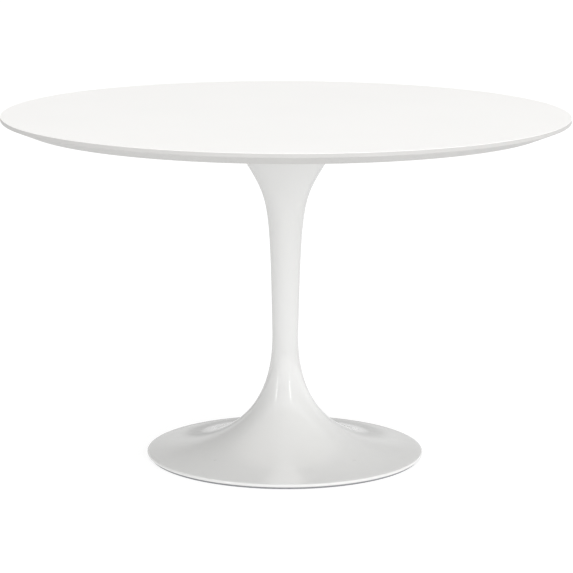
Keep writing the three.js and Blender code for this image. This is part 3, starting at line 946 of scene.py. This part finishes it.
# %% [markdown]
# ## The glide ring and the seal
# The glide ring is moulded with a tongue that snaps up into the casting's groove, and its lower corners are
# rounded so that it slides over a carpet's edge. The seal is a thin foam ring that hides the gap at the lip.

# %% Turn the ring and the seal
GLIDE_WIDTH = 11.5
SEAL_PLAY = 2.0

rim_face = rim_low - GAP
tongue_in, tongue_out = groove_in + GAP, groove_out - GAP
glide = turned("floor_glide", section([
    (glide_radius - GLIDE_WIDTH, glide_low, 0.8),
    (glide_radius, glide_low, 0.8),
    (glide_radius, rim_face, 0.5),
    (tongue_out, rim_face, 0.1),
    (tongue_out, glide_high, 0.5),
    (tongue_in, glide_high, 0.5),
    (tongue_in, rim_face, 0.1),
    (glide_radius - GLIDE_WIDTH, rim_face, 0.5),
]), PEDESTAL_SIDES, POLYETHYLENE)
seal_low, seal_high, seal_radius = levels("lip_seal")
seal = turned("foam_seal", section([
    (mouth + SEAL_PLAY, seal_low, 0.3),
    (seal_radius, seal_low, 0.3),
    (seal_radius, seal_high, 0.3),
    (mouth + SEAL_PLAY, seal_high, 0.3),
]), PEDESTAL_SIDES, FOAM)
fit(glide, "table", "grey_polyethylene", "glide_ring")
fit(seal, "table", "white_foam", "lip_seal")

# %% [markdown]
# ## The spider
# The spider is a rough casting: a disc with a hub and six ribs that thin out towards the disc's edge. The
# disc and hub are turned with the fillets a foundry needs, with a hole a little too small. A rib is a wedge
# with its edges bevelled. All six are joined to the disc, and then every hole is bored to its size. Ribs and
# pins bring no finish of their own, so every face is set to the iron at the end.

# %% Cast the spider
RIBS, RIB_WIDTH, RIB_REACH, RIB_TIP, RIB_RISE = 6, 6.0, 98.0, 2.0, 6.0
RIB_ROOT, RIB_BEVEL = 1.0, 1.2
HUB_RADIUS, HUB_DEPTH = 26.0, 36.5
BORING_ALLOWANCE = 1.5
SCREW_RADIUS = 3.0

hub_low, spider_high, spider_radius = levels("mounting_spider")
flange_low = hub_low + HUB_DEPTH
rod_bore = rod_radius + GAP
screw_hole = SCREW_RADIUS + GAP


def rib(angle):
    """A wedge that reaches a little way up into the disc, turned to its place round the hub."""
    side = [
        (0, flange_low + RIB_ROOT), (RIB_REACH, flange_low + RIB_ROOT), (RIB_REACH, flange_low - RIB_TIP),
        (HUB_RADIUS, hub_low + RIB_RISE), (0, hub_low + RIB_RISE)]
    corners = [(x * MM, y * MM, z * MM) for y in (-RIB_WIDTH / 2, RIB_WIDTH / 2) for x, z in side]
    count = len(side)
    faces = [tuple(range(count))[::-1], tuple(range(count, 2 * count))]
    faces += [(i, (i + 1) % count, count + (i + 1) % count, count + i) for i in range(count)]
    mesh = bpy.data.meshes.new("rib")
    mesh.from_pydata(corners, [], faces)
    mesh.transform(Matrix.Rotation(angle, 4, "Z"))
    maker = bpy.data.objects.new("rib", mesh)
    bpy.context.collection.objects.link(maker)
    bevel = maker.modifiers.new("soft edges", "BEVEL")
    bevel.width, bevel.segments = RIB_BEVEL * MM, 2
    return plain_mesh(maker, "rib")


spider = turned("cast_spider", section([
    (rod_bore - BORING_ALLOWANCE, hub_low, 0.5),
    (HUB_RADIUS, hub_low, 2.0),
    (HUB_RADIUS, flange_low, 4.0),
    (spider_radius, flange_low, 1.0),
    (spider_radius, spider_high, 0.5),
    (rod_bore - BORING_ALLOWANCE, spider_high, 0.5),
]), 96, IRON)
spider = solid_of(spider, "UNION", *[rib(2 * math.pi * n / RIBS) for n in range(RIBS)])
spider = solid_of(spider, "DIFFERENCE", pin(rod_bore, hub_low - PAST, spider_high + PAST), *[
    pin(screw_hole, flange_low - PAST, spider_high + PAST, p.x, p.y) for p in insert_places])
for polygon in spider.data.polygons:
    polygon.material_index = 0
fit(spider, "table", "raw_cast_iron", "mounting_spider")
print("the spider hangs from", round(spider_high, 1), "down to", round(hub_low, 1), "mm")

# %% [markdown]
# ## Screws, washers and inserts
# These three pieces repeat six times on one circle, so each is made once on the axis and the bolt-circle tree
# sets the copies. The thread tree wants many rings along the shank, and a helper puts them in the section.

# %% Make one of each
SCREW_PITCH, INSERT_PITCH = 1.0, 2.0
HEAD_RADIUS, HEAD_CROWN, HEAD_SHOULDER = 5.25, 3.15, 2.3
SOCKET, SOCKET_DEPTH = 4.0, 2.0
SHANK_START, THREAD_START = 1.2, 1.5
TIP, TIP_TAPER = 0.8, 0.7
INSERT_CHAMFER = 0.5
RINGS_PER_PITCH = 8


def rings(radius, start, end, pitch):
    """Points straight up or down at one radius, close enough together for a thread."""
    count = max(2, round(abs(end - start) / pitch * RINGS_PER_PITCH))
    return [Vector((radius, start + (end - start) * k / count)) for k in range(count + 1)]


def threaded(radius, low, high, pitch):
    return THREAD, {"Pitch": pitch * MM, "Radius": radius * MM, "Lowest": low * MM, "Highest": high * MM}


head_low, screw_high, _ = levels("spider_screw_1")
washer_low, washer_high, washer_radius = levels("spider_washer_1")
head_high = washer_low - GAP
screw = turned("cap_screw", [
    *section([
        (0, head_low, 0),
        (HEAD_CROWN, head_low, 0.6),
        (HEAD_RADIUS, head_low + HEAD_SHOULDER, 1.2),
        (HEAD_RADIUS, head_high, 0.2),
        (SCREW_RADIUS, head_high, 0.2),
        (SCREW_RADIUS, head_high + CLEAR, 0),
    ]),
    *rings(SCREW_RADIUS, head_high + SHANK_START, screw_high - TIP, SCREW_PITCH),
    Vector((SCREW_RADIUS - TIP_TAPER, screw_high)),
    Vector((0, screw_high)),
], 36, ZINC, threaded(SCREW_RADIUS, head_high + THREAD_START, screw_high - TIP, SCREW_PITCH))
screw = solid_of(screw, "DIFFERENCE", pin(
    SOCKET / math.sqrt(3), head_low - PAST, head_low + SOCKET_DEPTH, sides=6))
washer = turned("flat_washer", section([
    (screw_hole, washer_low, 0.1),
    (washer_radius, washer_low, 0.15),
    (washer_radius, washer_high, 0.4),
    (screw_hole, washer_high, 0.3),
]), 36, ZINC)
thread_low, thread_high = insert_low + INSERT_CHAMFER, insert_high - INSERT_CHAMFER
insert = turned("brass_insert", [
    *rings(screw_hole, thread_high, thread_low, SCREW_PITCH),
    Vector((screw_hole + INSERT_CHAMFER, insert_low)),
    Vector((insert_radius - INSERT_CHAMFER, insert_low)),
    *rings(insert_radius, thread_low, thread_high, INSERT_PITCH),
    Vector((insert_radius - INSERT_CHAMFER, insert_high)),
    Vector((screw_hole + INSERT_CHAMFER, insert_high)),
], 36, BRASS,
    threaded(screw_hole, thread_low, thread_high, SCREW_PITCH),
    threaded(insert_radius, thread_low, thread_high, INSERT_PITCH))

# %% [markdown]
# The copies go where the frame has the six pieces: the circle's radius and its first angle are read from the
# first insert. The washer and the screw share them, so the three rings can't drift apart.

# %% Set six copies of each on the circle
def bolt_circle(pattern, name, metal):
    apply_tree(pattern, BOLT_CIRCLE, {
        "Count": INSERTS,
        "Radius": insert_places[0].xy.length,
        "First Angle": math.atan2(insert_places[0].y, insert_places[0].x),
        "Finish": metal,
    })
    return plain_mesh(pattern, name)


for pattern, name, metal, slot, node_name in (
        (screw, "cap_screws", ZINC, "zinc_steel", "spider_screw"),
        (washer, "flat_washers", ZINC, "zinc_steel", "spider_washer"),
        (insert, "threaded_inserts", BRASS, "brass", "threaded_insert")):
    ring = bolt_circle(pattern, name, metal)
    fit(ring, "table", slot, *[f"{node_name}_{n + 1}" for n in range(INSERTS)])
    print(name, "stand on a circle", round(2 * insert_places[0].xy.length / MM), "mm across")

# %% [markdown]
# ## The tie rod and its nuts
# One long rod pulls the spider down against the web in the foot. Only its two ends are threaded. The nuts'
# bores are threaded by the same tree with the same pitch, so the ridges of nut and rod lie in step.

# %% Turn the rod
ROD_PITCH, ROD_CHAMFER = 2.0, 1.5
THREADED_LENGTH = 60.0

rod_low, rod_high, _ = levels("tie_rod")
low_end = (rod_low + ROD_CHAMFER, rod_low + THREADED_LENGTH)
high_end = (rod_high - THREADED_LENGTH, rod_high - ROD_CHAMFER)
rod = turned("threaded_tie_rod", [
    Vector((0, rod_low)),
    Vector((rod_radius - ROD_CHAMFER, rod_low)),
    *rings(rod_radius, *low_end, ROD_PITCH),
    *rings(rod_radius, *high_end, ROD_PITCH),
    Vector((rod_radius - ROD_CHAMFER, rod_high)),
    Vector((0, rod_high)),
], 48, ZINC, threaded(rod_radius, *low_end, ROD_PITCH), threaded(rod_radius, *high_end, ROD_PITCH))
fit(rod, "table", "zinc_steel", "tie_rod")

# %% [markdown]
# A nut's bevel is turned at thirty degrees, and it needs several rings so that the flats cut a curved arc.
# The round face that is left is a little narrower than the nut is across its flats.

# %% Turn and mill the nuts
BEVEL_RINGS = 6
BEVEL_SLOPE = math.tan(math.radians(30))
FACE_SHARE = 0.96
NUT_CHAMFER = 0.8
PAST_FACE = 0.01


def bevelled(corner, low, high):
    """The outer outline of a hexagon's blank, from its low face up to its high face."""
    face = corner * math.sqrt(3) / 2 * FACE_SHARE
    radii = [face + (corner - face) * k / BEVEL_RINGS for k in range(BEVEL_RINGS + 1)]
    up = [Vector((r, low + (r - face) * BEVEL_SLOPE)) for r in radii]
    down = [Vector((r, high - (r - face) * BEVEL_SLOPE)) for r in reversed(radii)]
    return up + down


def milled(corner, low, high):
    return HEXAGON, {
        "Across Flats": corner * math.sqrt(3) * MM,
        "Lowest": (low - PAST_FACE) * MM,
        "Highest": (high + PAST_FACE) * MM,
    }


def nut(name, node_name):
    low, high, corner = levels(node_name)
    bore_low, bore_high = low + NUT_CHAMFER, high - NUT_CHAMFER
    piece = turned(name, [
        *rings(rod_bore, bore_high, bore_low, ROD_PITCH),
        Vector((rod_bore + NUT_CHAMFER, low)),
        *bevelled(corner, low, high),
        Vector((rod_bore + NUT_CHAMFER, high)),
    ], 72, ZINC, milled(corner, low, high), threaded(rod_bore, bore_low, bore_high, ROD_PITCH))
    fit(piece, "table", "zinc_steel", node_name)
    return piece


for name, node_name in (("lower_nut", "tie_nut"), ("upper_thin_nut", "rod_jam_nut")):
    print(name, "is", round(nut(name, node_name).dimensions.x / MM, 1), "mm over its corners")

# %% [markdown]
# The clamp washer is a thick turned plate. The spring washer is bent from square wire, and its two ends show
# as a slanted gap, which one tilted block cuts. The block starts as a pin with four sides and a radius of
# one, so it is the square root of two wide, and it is then stretched to the gap's width.

# %% Make the two washers
SPLIT, SPLIT_SLANT = 3.0, math.radians(20)

clamp_low, clamp_high, clamp_radius = levels("clamp_washer")
clamp = turned("thick_clamp_washer", section([
    (rod_bore, clamp_low, 0.5),
    (clamp_radius, clamp_low, 1.0),
    (clamp_radius, clamp_high, 0.5),
    (rod_bore, clamp_high, 0.5),
]), 96, ZINC)
fit(clamp, "table", "zinc_steel", "clamp_washer")

spring_low, spring_high, spring_radius = levels("spring_washer")
spring = turned("split_spring_washer", section([
    (rod_bore, spring_low, 0.3),
    (spring_radius, spring_low, 0.3),
    (spring_radius, spring_high, 0.3),
    (rod_bore, spring_high, 0.3),
]), 72, ZINC)
cutter = pin(1.0, -1.0, 1.0, sides=4)
cutter.data.transform(Matrix.Rotation(math.pi / 4, 4, "Z"))
cutter.data.transform(Matrix.Diagonal((spring_radius, SPLIT / math.sqrt(2), 2 * spring_radius, 1.0)))
cutter.data.transform(
    Matrix.Translation((spring_radius * MM, 0, (spring_low + spring_high) / 2 * MM))
    @ Matrix.Rotation(SPLIT_SLANT, 4, "X"))
spring = solid_of(spring, "DIFFERENCE", cutter)
fit(spring, "table", "zinc_steel", "spring_washer")
print("the spring washer's gap is", SPLIT, "mm wide")

# %% [markdown]
# ## Levelling feet
# Each foot is a nylon pad and a stud that turns in it. The stud's round head sits in the pad, its hexagon
# takes a spanner, and its thread climbs into the boss. Pad and stud are on bodies of their own, because the
# pad only slides up and down while the stud also turns.

# %% Make one pad and one stud
STUD_PITCH = 1.25
STUD_HEAD, STUD_HEAD_DEPTH, STUD_TIP = 6.0, 1.8, 0.8
CUP_FLOOR, PAD_EDGE, PAD_CROWN = 1.3, 1.0, 0.55
SPANNER = 13.0
HEX_CORNER = SPANNER / math.sqrt(3)

pad_low, pad_high, pad_radius = levels("leveller_pad_1")
stud_low, stud_high, _ = levels("leveller_stud_1")
cup_low = pad_low + CUP_FLOOR
head_top = stud_low + STUD_HEAD_DEPTH
neck = STUD_RADIUS + GAP
pad_pattern = turned("pad", section([
    (0, pad_low, 0),
    (pad_radius - PAD_EDGE, pad_low, 0.4),
    (pad_radius, pad_low + PAD_EDGE, 0.5),
    (pad_radius * PAD_CROWN, pad_high, 0.8),
    (neck, pad_high, 0.3),
    (neck, head_top + GAP, 0.15),
    (STUD_HEAD + GAP, head_top + GAP, 0.3),
    (STUD_HEAD + GAP, cup_low, 0.3),
    (0, cup_low, 0),
]), 60, NYLON)
stud_pattern = turned("stud", [
    *section([
        (0, stud_low, 0),
        (STUD_HEAD, stud_low, 0.5),
        (STUD_HEAD, head_top, 0.5),
        (STUD_RADIUS, head_top, 0.2),
        (STUD_RADIUS, FLANGE_LOW, 0),
    ]),
    *bevelled(HEX_CORNER, FLANGE_LOW, flange_high),
    *rings(STUD_RADIUS, flange_high, stud_high - STUD_TIP, STUD_PITCH),
    Vector((STUD_RADIUS - STUD_TIP, stud_high)),
    Vector((0, stud_high)),
], 60, ZINC, milled(HEX_CORNER, FLANGE_LOW, flange_high),
    threaded(STUD_RADIUS, flange_high + GAP, stud_high - STUD_TIP, STUD_PITCH))

# %% [markdown]
# The four feet are copies of that pair, each moved to its own place in its mesh, so that every object still
# sits at the origin.

# %% Set the four feet
for n, place in enumerate(foot_places, start=1):
    for pattern, kind, slot in ((pad_pattern, "pad", "black_nylon"), (stud_pattern, "stud", "zinc_steel")):
        mesh = pattern.data.copy()
        mesh.transform(
            Matrix.Translation((place.x, place.y, 0)) @ Matrix.Rotation(math.atan2(place.y, place.x), 4, "Z"))
        piece = bpy.data.objects.new(f"levelling_{kind}_{n}", mesh)
        bpy.context.collection.objects.link(piece)
        fit(piece, f"leveller_{kind}_{n}", slot, f"leveller_{kind}_{n}")
for pattern in (pad_pattern, stud_pattern):
    bpy.data.objects.remove(pattern)
print("a pad goes down by", STUD_PITCH, "mm in each turn of its stud")

# %% [markdown]
# ## Studio
# White on white is lit by what surrounds it. The room is brightest where the ceiling bank hangs overhead. In
# front and to the right a broad glow reaches halfway up, and a narrow strip runs all round a little above the
# horizon, so that the top still shines where it is seen at a low angle. Halfway up, behind, the room is dim.
# That keeps the top white and models everything upright in soft greys. A span is the pair of readings between
# which a light fades in or out: of the cosine to a direction, or of the height of the direction looked in.

# %% Light the room
ROOM_LOW, ROOM_HIGH = 0.28, 1.82
ROOM_LEFT, ROOM_RIGHT = 0.85, 1.15
BANK_FROM = Vector((0.05, -0.12, 1.0)).normalized()
BANK_SPAN = (0.5, 1.0)
GLOW, GLOW_BEHIND = 1.16, 0.08
GLOW_FROM = Vector((0.75, -0.66, 0.0)).normalized()
GLOW_SPAN, GLOW_HEIGHTS = (-0.9, 0.5), (0.1, 0.8)
STRIP = 0.48
STRIP_STARTS, STRIP_ENDS = (0.05, 0.13), (0.16, 0.36)

scene = bpy.context.scene
scene.view_settings.view_transform = "Standard"
room = bpy.data.worlds.new("white_room")
room.use_nodes = True
scene.world = room
sky = room.node_tree
way = node(sky, "ShaderNodeTexCoord").outputs["Generated"]
part = node(sky, "ShaderNodeSeparateXYZ", {0: way})
towards_bank = node(sky, "ShaderNodeVectorMath", {0: way, 1: BANK_FROM}, operation="DOT_PRODUCT")
bank = node(sky, "ShaderNodeMapRange", {
    "Value": towards_bank.outputs["Value"], "From Min": BANK_SPAN[0], "From Max": BANK_SPAN[1],
    "To Min": ROOM_LOW, "To Max": ROOM_HIGH}, interpolation_type="SMOOTHSTEP")
by_side = node(sky, "ShaderNodeMapRange", {
    "Value": part.outputs["X"], "From Min": -1.0, "From Max": 1.0, "To Min": ROOM_LEFT, "To Max": ROOM_RIGHT})
low_down = node(sky, "ShaderNodeMapRange", {
    "Value": part.outputs["Z"], "From Min": GLOW_HEIGHTS[0], "From Max": GLOW_HEIGHTS[1],
    "To Min": GLOW, "To Max": 0.0}, interpolation_type="SMOOTHSTEP")
towards_glow = node(sky, "ShaderNodeVectorMath", {0: way, 1: GLOW_FROM}, operation="DOT_PRODUCT")
in_front = node(sky, "ShaderNodeMapRange", {
    "Value": towards_glow.outputs["Value"], "From Min": GLOW_SPAN[0], "From Max": GLOW_SPAN[1],
    "To Min": GLOW_BEHIND, "To Max": 1.0}, interpolation_type="SMOOTHSTEP")
broad = node(sky, "ShaderNodeMath", {0: low_down.outputs[0], 1: in_front.outputs[0]}, operation="MULTIPLY")
strip_below = node(sky, "ShaderNodeMapRange", {
    "Value": part.outputs["Z"], "From Min": STRIP_ENDS[0], "From Max": STRIP_ENDS[1],
    "To Min": STRIP, "To Max": 0.0}, interpolation_type="SMOOTHSTEP")
strip = node(sky, "ShaderNodeMapRange", {
    "Value": part.outputs["Z"], "From Min": STRIP_STARTS[0], "From Max": STRIP_STARTS[1],
    "To Min": 0.0, "To Max": strip_below.outputs[0]}, interpolation_type="SMOOTHSTEP")
glow = node(sky, "ShaderNodeMath", {0: broad.outputs[0], 1: strip.outputs[0]}, operation="MAXIMUM")
lit = node(sky, "ShaderNodeMath", {
    0: bank.outputs[0], 1: by_side.outputs[0], 2: glow.outputs[0]}, operation="MULTIPLY_ADD")
print("the room goes from", ROOM_LOW, "behind to", ROOM_HIGH, "at the ceiling bank")

# %% [markdown]
# The camera sees something plainer than what lights the table: white paper behind the table, along +Y, and a
# pale grey surround elsewhere, so that a white top stands out from it. A Light Path node tells a ray from
# the camera apart from the rays that carry light.

# %% Hang the paper and the surround
SURROUND = 0.77
PAPER_WAYS = (0.94, 0.99)

backdrop = node(sky, "ShaderNodeMapRange", {
    "Value": part.outputs["Y"], "From Min": PAPER_WAYS[0], "From Max": PAPER_WAYS[1],
    "To Min": SURROUND, "To Max": 1.0}, interpolation_type="SMOOTHSTEP")
seen = node(sky, "ShaderNodeLightPath").outputs["Is Camera Ray"]
strength = node(sky, "ShaderNodeMix", {0: seen, 2: lit.outputs[0], 3: backdrop.outputs[0]})
background = sky.nodes["Background"]
background.inputs["Color"].default_value = linear("FFFFFF")
sky.links.new(strength.outputs[0], background.inputs["Strength"])
print("the surround is", SURROUND, "as bright as the paper")

# %% [markdown]
# Two upright softboxes in front, left and right, draw the two bright lines down the waist. They are narrow,
# so that the lines are too, and hidden from the camera, so that no view shows them.

# %% Set the softboxes
AIM = Vector((0.0, 0.0, 0.3))


def softbox(name, right_of_camera, above, distance, width, height, brightness):
    """A soft rectangular light, placed by its two angles as seen from the middle of the column."""
    turn, lift = math.radians(right_of_camera), math.radians(above)
    outwards = Vector((math.sin(turn) * math.cos(lift), -math.cos(turn) * math.cos(lift), math.sin(lift)))
    light = bpy.data.lights.new(name, "AREA")
    light.shape, light.size, light.size_y = "RECTANGLE", width, height
    light.energy = brightness * math.pi * width * height
    box = bpy.data.objects.new(name, light)
    facing = outwards.to_track_quat("Z", "Y").to_matrix().to_4x4()
    box.matrix_world = Matrix.Translation(AIM + outwards * distance) @ facing
    box.visible_camera = False
    bpy.context.collection.objects.link(box)


softbox("left strip", -48, 23, 3.0, 0.2, 1.3, 5.5)
softbox("right strip", 28, 24, 3.0, 0.16, 1.3, 9.0)

# %% [markdown]
# ## The floor
# The table stands on a pale floor lit from below, as on a light table. That is how a catalogue picture loses
# its shadows: most of the floor's brightness is its own, and only a faint shade of the table is left. What it
# throws on the table is strongest in front of the foot and falls off within two metres. To the camera the
# floor continues the room: a white lane that widens from the lens towards +Y, and pale grey beside it and in
# front of it, with soft edges.

# %% Lay the floor
FLOOR_REACH, FLOOR_DROP = 40.0, 0.0002
GLOW_NEAR, GLOW_FAR = 0.66, 0.4
SHEET_MIDDLE = Vector((0.3, -0.7, 0.0))
SHEET_NEAR, SHEET_FAR = 0.6, 2.0
LANE, BESIDE_LANE = 0.78, 0.44
LANE_START, LANE_FADE = -3.6, 2.5
LANE_POINT_BEHIND = 6.0
LANE_SPREAD = (0.13, 0.3)

floor_mesh = bpy.data.meshes.new("floor")
floor_mesh.from_pydata(
    [(x * FLOOR_REACH, y * FLOOR_REACH, -FLOOR_DROP) for x, y in ((-1, -1), (1, -1), (1, 1), (-1, 1))],
    [], [(0, 1, 2, 3)])
floor = bpy.data.objects.new("floor", floor_mesh)
bpy.context.collection.objects.link(floor)
floor_material, floor_tree, floor_shader, floor_point = finish("milky_light_table", "8C8C8C", 0.9)
floor_shader.inputs["Emission Color"].default_value = linear("FFFFFF")
away = node(floor_tree, "ShaderNodeVectorMath", {0: floor_point, 1: SHEET_MIDDLE}, operation="DISTANCE")
thrown = node(floor_tree, "ShaderNodeMapRange", {
    "Value": away.outputs["Value"], "From Min": SHEET_NEAR, "From Max": SHEET_FAR,
    "To Min": GLOW_NEAR, "To Max": GLOW_FAR}, interpolation_type="SMOOTHSTEP")
spot = node(floor_tree, "ShaderNodeSeparateXYZ", {0: floor_point})
aside = node(floor_tree, "ShaderNodeMath", {0: spot.outputs["X"]}, operation="ABSOLUTE")
ahead = node(floor_tree, "ShaderNodeMath", {0: spot.outputs["Y"], 1: LANE_POINT_BEHIND}, operation="ADD")
opening = node(floor_tree, "ShaderNodeMath", {0: aside.outputs[0], 1: ahead.outputs[0]}, operation="DIVIDE")
across_lane = node(floor_tree, "ShaderNodeMapRange", {
    "Value": opening.outputs[0], "From Min": LANE_SPREAD[0], "From Max": LANE_SPREAD[1],
    "To Min": LANE, "To Max": BESIDE_LANE}, interpolation_type="SMOOTHSTEP")
looks = node(floor_tree, "ShaderNodeMapRange", {
    "Value": spot.outputs["Y"], "From Min": LANE_START, "From Max": LANE_START + LANE_FADE,
    "To Min": BESIDE_LANE, "To Max": across_lane.outputs[0]}, interpolation_type="SMOOTHSTEP")
by_camera = node(floor_tree, "ShaderNodeLightPath").outputs["Is Camera Ray"]
shine = node(floor_tree, "ShaderNodeMix", {0: by_camera, 2: thrown.outputs[0], 3: looks.outputs[0]})
floor_tree.links.new(shine.outputs[0], floor_shader.inputs["Emission Strength"])
floor_mesh.materials.append(floor_material)
print("the floor reaches", FLOOR_REACH, "m each way")
